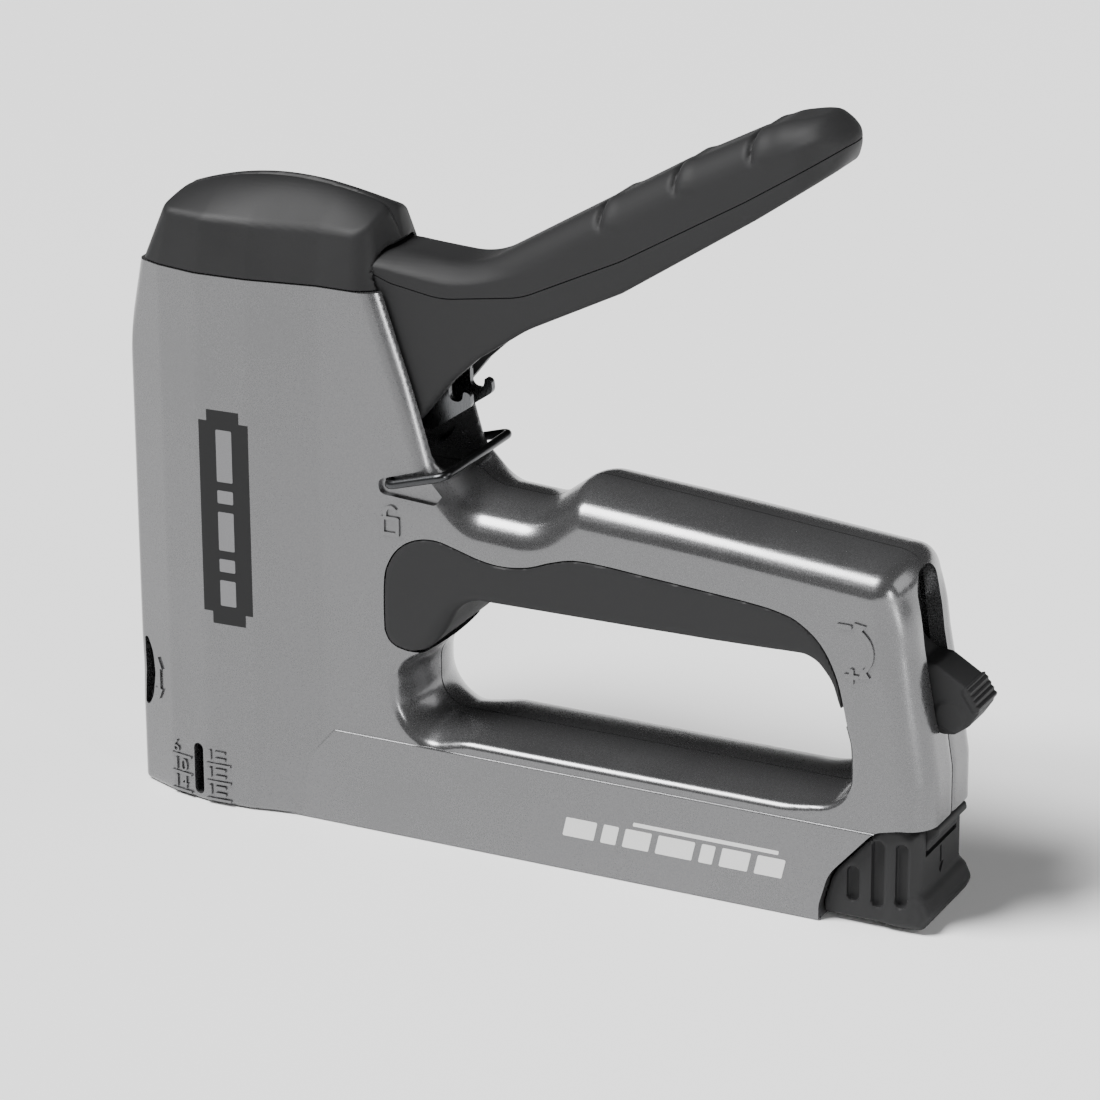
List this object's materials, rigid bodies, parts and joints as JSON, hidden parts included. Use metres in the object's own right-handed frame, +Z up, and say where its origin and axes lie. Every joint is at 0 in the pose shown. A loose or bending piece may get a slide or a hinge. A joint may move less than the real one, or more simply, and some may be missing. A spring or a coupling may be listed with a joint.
{
  "type": "staple gun",
  "caption": "Hand-squeezed staple gun with a grey die-cast body, black handle, open hand grip, wire handle lock, power lever and slide-out magazine.",
  "frame": {"origin": "middle of the tool's length and width, on the plane of its flat base", "axes": "+X from the nose to the back along the grip, +Y across the tool to its right side, +Z up"},
  "size_m": [0.2, 0.035, 0.1722],
  "materials": {
    "cast_grey": "die-cast aluminium with a satin metallic grey paint",
    "black_plastic": "fine-grained moulded nylon",
    "soft_black": "soft-touch overmoulding",
    "dark_steel": "black oxide",
    "bright_steel": "ground steel",
    "spring_steel": "oiled spring wire",
    "buffer_rubber": "dull"
  },
  "bodies": {
    "housing": {"left_housing": "cast_grey", "right_housing": "cast_grey", "top_cap": "black_plastic", "grip_insert": "soft_black", "blade_guide": "bright_steel", "bumper_pad": "buffer_rubber", "spring_seat": "dark_steel", "magazine_guide": "bright_steel", "handle_hinge_pin": "bright_steel", "handle_return_spring": "spring_steel", "power_lever_pin": "bright_steel", "housing_screw_1": "dark_steel", "housing_screw_2": "dark_steel", "housing_screw_3": "dark_steel", "housing_screw_4": "dark_steel", "power_spring": "spring_steel"},
    "handle": {"handle_lever": "black_plastic", "handle_cover": "soft_black", "handle_frame": "dark_steel", "lift_roller": "bright_steel", "roller_pin": "bright_steel"},
    "striker": {"striker_block": "dark_steel", "driver_blade": "bright_steel"},
    "bail": {"lock_bail": "dark_steel"},
    "power_lever": {"power_lever": "black_plastic"},
    "power_link": {"power_link": "bright_steel"},
    "nose_slide": {"nose_slide": "black_plastic"},
    "magazine": {"end_cap": "black_plastic", "feed_rail": "bright_steel", "spring_rod": "bright_steel", "follower_spring": "spring_steel", "latch_pin": "bright_steel"},
    "follower": {"staple_follower": "dark_steel"},
    "latch": {"magazine_latch": "black_plastic"}
  },
  "joints": [
    {"name": "handle_hinge", "type": "hinge", "parent": "housing", "child": "handle", "pos_m": [-0.0364, 0, 0.0998], "axis": [0, 1, 0], "range_deg": [0, 35], "stiffness_Nm_per_rad": 3, "springref_deg": -28.65},
    {"name": "striker_slide", "type": "slide", "parent": "housing", "child": "striker", "axis": [0, 0, 1], "range_m": [0, 0.0172], "deforming": ["power_spring"]},
    {"name": "bail_hinge", "type": "hinge", "parent": "housing", "child": "bail", "pos_m": [-0.033, 0, 0.082], "axis": [0, -1, 0], "range_deg": [0, 29.7]},
    {"name": "power_lever_hinge", "type": "hinge", "parent": "housing", "child": "power_lever", "pos_m": [0.0785, 0, 0.06], "axis": [0, -1, 0], "range_deg": [0, 50]},
    {"name": "power_link_slide", "type": "slide", "parent": "housing", "child": "power_link", "axis": [-1, 0, 0], "range_m": [0, 0.00728]},
    {"name": "nose_slide_travel", "type": "slide", "parent": "housing", "child": "nose_slide", "axis": [0, 0, 1], "range_m": [-0.003, 0.003]},
    {"name": "magazine_slide", "type": "slide", "parent": "housing", "child": "magazine", "axis": [1, 0, 0], "range_m": [0, 0.105]},
    {"name": "follower_slide", "type": "slide", "parent": "magazine", "child": "follower", "axis": [1, 0, 0], "range_m": [0, 0.128], "stiffness_N_per_m": 30, "springref_m": -0.05, "deforming": ["follower_spring"]},
    {"name": "latch_hinge", "type": "hinge", "parent": "magazine", "child": "latch", "pos_m": [0.0836, 0, 0.0196], "axis": [0, 1, 0], "range_deg": [0, 10], "stiffness_Nm_per_rad": 0.1, "springref_deg": -22.92}
  ],
  "couplings": [
    {"joint": "striker_slide", "follows": "handle_hinge", "m_per_rad": 0.02793},
    {"joint": "power_lever_hinge", "follows": "power_link_slide", "rad_per_m": 119.9}
  ]
}
